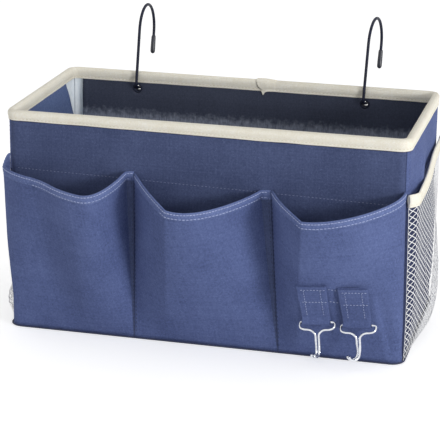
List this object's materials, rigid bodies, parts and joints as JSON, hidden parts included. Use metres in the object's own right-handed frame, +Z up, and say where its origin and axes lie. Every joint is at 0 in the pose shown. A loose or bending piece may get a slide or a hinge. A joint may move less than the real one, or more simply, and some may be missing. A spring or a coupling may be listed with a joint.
{
  "type": "bedside caddy",
  "caption": "Open-top cloth caddy for a bed rail, stiffened with boards, with pleated front pockets, net side pockets, wire hanger hooks and key hooks on cloth tabs.",
  "frame": {"origin": "middle of the base's underside, in the plane it stands on", "axes": "+X to the right as seen from the front, +Y towards the bed and the rear wall, +Z up"},
  "size_m": [0.3532, 0.2534, 0.2342],
  "materials": {
    "navy_cloth": "plain woven oxford cloth, matt",
    "lining_cloth": "coated lining cloth, slightly glossy",
    "binding_tape": "cream woven binding tape, matt",
    "white_net": "knotted white net",
    "stiffener": "thin white plastic board",
    "coated_wire": "dark coated steel wire",
    "dipped_tip": "dark dipped tip",
    "bright_wire": "bright plated wire"
  },
  "bodies": {
    "caddy": {"outer_front_panel": "navy_cloth", "outer_back_panel": "navy_cloth", "outer_left_panel": "navy_cloth", "outer_right_panel": "navy_cloth", "outer_base_panel": "navy_cloth", "front_board": "stiffener", "back_board": "stiffener", "left_board": "stiffener", "right_board": "stiffener", "base_board": "stiffener", "front_lining": "lining_cloth", "back_lining": "lining_cloth", "left_lining": "lining_cloth", "right_lining": "lining_cloth", "base_lining": "lining_cloth", "rim_binding": "binding_tape", "rim_binding_lap": "binding_tape", "eyelet_left": "coated_wire", "eyelet_right": "coated_wire", "eyelet_washer_left": "coated_wire", "eyelet_washer_right": "coated_wire", "front_pocket_left": "navy_cloth", "front_pocket_middle": "navy_cloth", "front_pocket_right": "navy_cloth", "mesh_pocket_left": "white_net", "mesh_pocket_right": "white_net", "mesh_binding_left": "binding_tape", "mesh_binding_right": "binding_tape", "key_tab_left": "navy_cloth", "key_tab_right": "navy_cloth"},
    "hanger_left": {"hanger_hook_left": "coated_wire", "hook_tip_left": "dipped_tip"},
    "hanger_right": {"hanger_hook_right": "coated_wire", "hook_tip_right": "dipped_tip"},
    "key_hook_left": {"key_hook_left": "bright_wire"},
    "key_hook_right": {"key_hook_right": "bright_wire"}
  },
  "joints": [
    {"name": "hanger_left_swing", "type": "hinge", "parent": "caddy", "child": "hanger_left", "pos_m": [-0.0985, 0.078, 0.1663], "axis": [1, 0, 0], "range_deg": [0, 22]},
    {"name": "hanger_right_swing", "type": "hinge", "parent": "caddy", "child": "hanger_right", "pos_m": [0.0985, 0.078, 0.1663], "axis": [0.9962, -0.0872, 0], "range_deg": [0, 22]},
    {"name": "key_hook_left_swing", "type": "hinge", "parent": "caddy", "child": "key_hook_left", "pos_m": [0.09688, -0.09898, 0.03643], "axis": [0.9962, 0, 0.0872], "range_deg": [-100, 25]},
    {"name": "key_hook_right_swing", "type": "hinge", "parent": "caddy", "child": "key_hook_right", "pos_m": [0.12839, -0.09702, 0.0363], "axis": [0.9962, 0, 0.0872], "range_deg": [-100, 25]}
  ]
}
